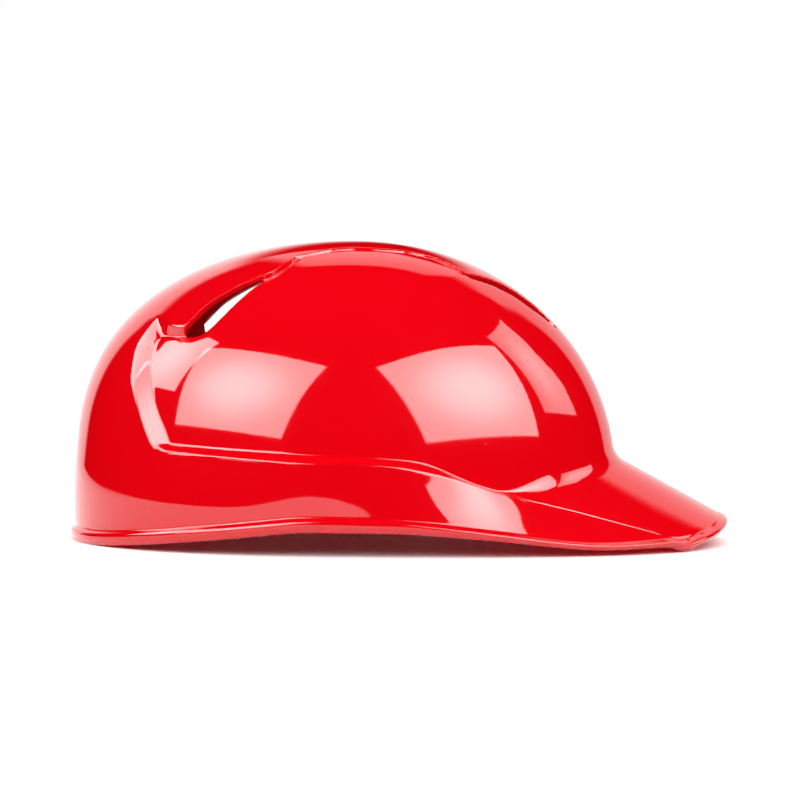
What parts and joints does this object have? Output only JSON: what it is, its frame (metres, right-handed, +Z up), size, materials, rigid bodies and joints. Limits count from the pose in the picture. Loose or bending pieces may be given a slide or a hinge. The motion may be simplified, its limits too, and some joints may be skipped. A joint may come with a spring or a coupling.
{
  "type": "catcher skull cap",
  "caption": "Hard domed catcher's skull cap with a short bill, recessed vented side panels, a rounded rim, foam liner and fabric comfort pads.",
  "frame": {"origin": "on the resting surface, below the middle of the cap's box", "axes": "+X forward over the bill, +Y to the wearer's left, +Z up through the crown"},
  "size_m": [0.2949, 0.2008, 0.134],
  "materials": {
    "shell": "high gloss moulded red",
    "liner": "dark firm closed-cell foam",
    "pad": "black knitted cover over soft foam",
    "hook": "black hook tape",
    "loop": "black loop tape"
  },
  "bodies": {
    "root": {"shell": "shell", "front_liner": "liner", "left_liner": "liner", "right_liner": "liner", "rear_liner": "liner", "crown_liner": "liner", "brow_pad": "pad", "left_temple_pad": "pad", "right_temple_pad": "pad", "left_side_pad": "pad", "right_side_pad": "pad", "left_rear_pad": "pad", "right_rear_pad": "pad", "crown_pad": "pad", "hook_discs": "hook", "loop_discs": "loop"}
  },
  "joints": []
}
